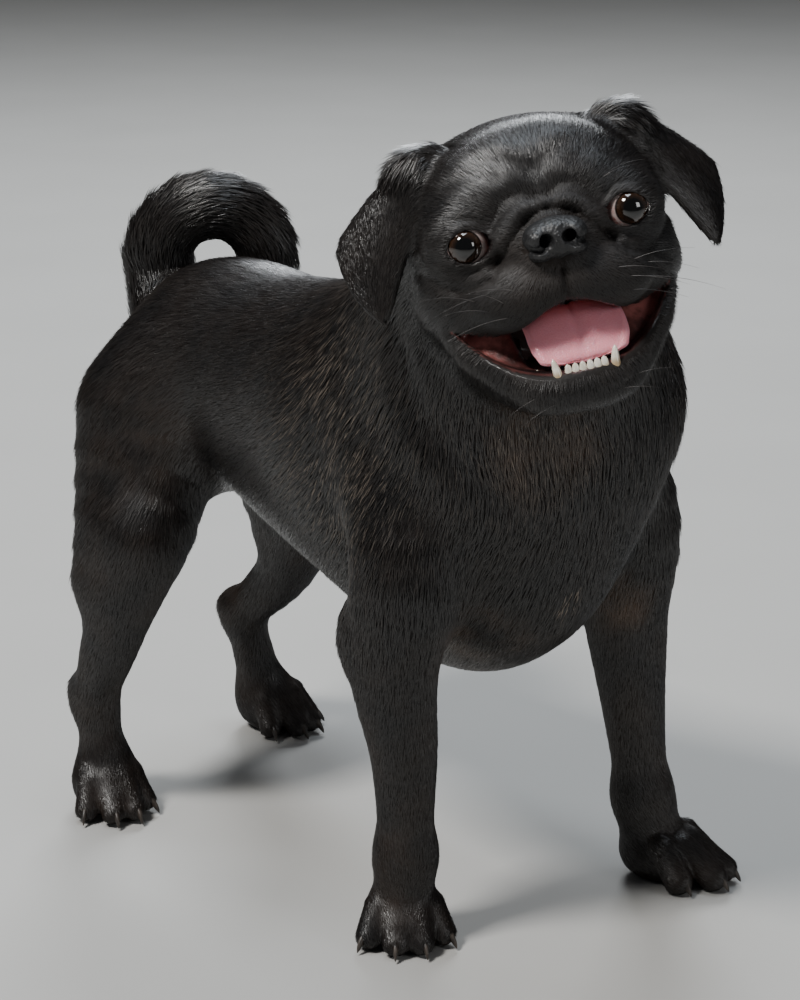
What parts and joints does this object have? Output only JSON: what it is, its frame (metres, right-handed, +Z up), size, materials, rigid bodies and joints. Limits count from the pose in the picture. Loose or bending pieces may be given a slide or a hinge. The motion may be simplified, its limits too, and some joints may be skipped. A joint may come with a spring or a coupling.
{
  "type": "pug dog model",
  "caption": "Life-size still model of a short-haired black pug standing, head turned with its mouth open, tail curled over its back.",
  "frame": {"origin": "middle of the model's box in plan, on the floor under the four soles", "axes": "-Y the way the trunk faces, +X the pug's own left, +Z up"},
  "size_m": [0.2352, 0.4418, 0.4134],
  "materials": {
    "coat": "short dense black hair with a soft sheen",
    "eye": "wet dark brown eyeball",
    "nose_leather": "damp pebbled black nose",
    "tongue": "wet pink",
    "claw": "dark horn"
  },
  "bodies": {
    "root": {"head": "coat", "lower_jaw": "coat", "nose": "nose_leather", "tongue": "tongue", "ear_left": "coat", "ear_right": "coat", "eye_left": "eye", "eye_right": "eye", "neck": "coat", "trunk": "coat", "tail": "coat", "front_leg_left_upper": "coat", "front_leg_left_lower": "coat", "front_paw_left": "coat", "front_leg_right_upper": "coat", "front_leg_right_lower": "coat", "front_paw_right": "coat", "hind_leg_left_upper": "coat", "hind_leg_left_lower": "coat", "hind_paw_left": "coat", "hind_leg_right_upper": "coat", "hind_leg_right_lower": "coat", "hind_paw_right": "coat", "claw_front_left_1": "claw", "claw_front_left_2": "claw", "claw_front_left_3": "claw", "claw_front_left_4": "claw", "claw_front_right_1": "claw", "claw_front_right_2": "claw", "claw_front_right_3": "claw", "claw_front_right_4": "claw", "claw_hind_left_1": "claw", "claw_hind_left_2": "claw", "claw_hind_left_3": "claw", "claw_hind_left_4": "claw", "claw_hind_right_1": "claw", "claw_hind_right_2": "claw", "claw_hind_right_3": "claw", "claw_hind_right_4": "claw"}
  },
  "joints": []
}
